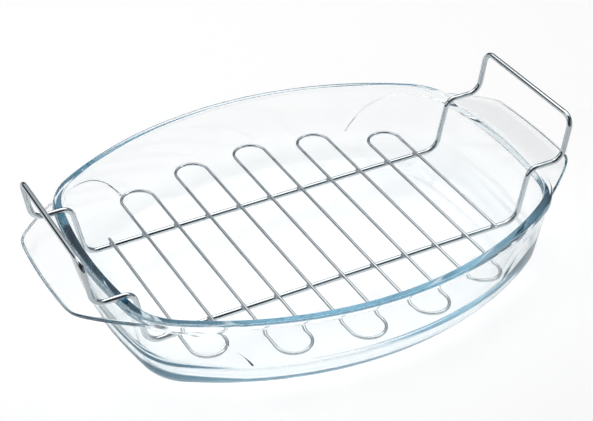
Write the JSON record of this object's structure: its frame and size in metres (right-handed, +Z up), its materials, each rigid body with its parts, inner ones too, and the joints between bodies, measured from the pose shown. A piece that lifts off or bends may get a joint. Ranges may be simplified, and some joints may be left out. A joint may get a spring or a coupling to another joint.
{
  "type": "roasting pan with rack",
  "caption": "Oval glass roasting dish with a flange handle at each end, and a lift-out wire rack whose two handles rest on the rim.",
  "frame": {"origin": "middle of the dish's flat base, on the surface that it stands on", "axes": "+X along the length from handle to handle, +Y across the width, +Z up out of the dish"},
  "size_m": [0.3896, 0.27, 0.1013],
  "materials": {
    "clear_glass": "clear pressed borosilicate glass, faintly blue where it is thick",
    "bright_steel": "bright drawn steel wire, polished",
    "weld_steel": "dull, slightly darkened spot welds"
  },
  "bodies": {
    "dish": {"glass_dish": "clear_glass"},
    "rack": {"rack_frame": "bright_steel", "rack_grid": "bright_steel", "spot_welds": "weld_steel"}
  },
  "joints": [
    {"name": "rack_lift", "type": "slide", "parent": "dish", "child": "rack", "axis": [0, 0, 1], "range_m": [0, 0.12]}
  ]
}
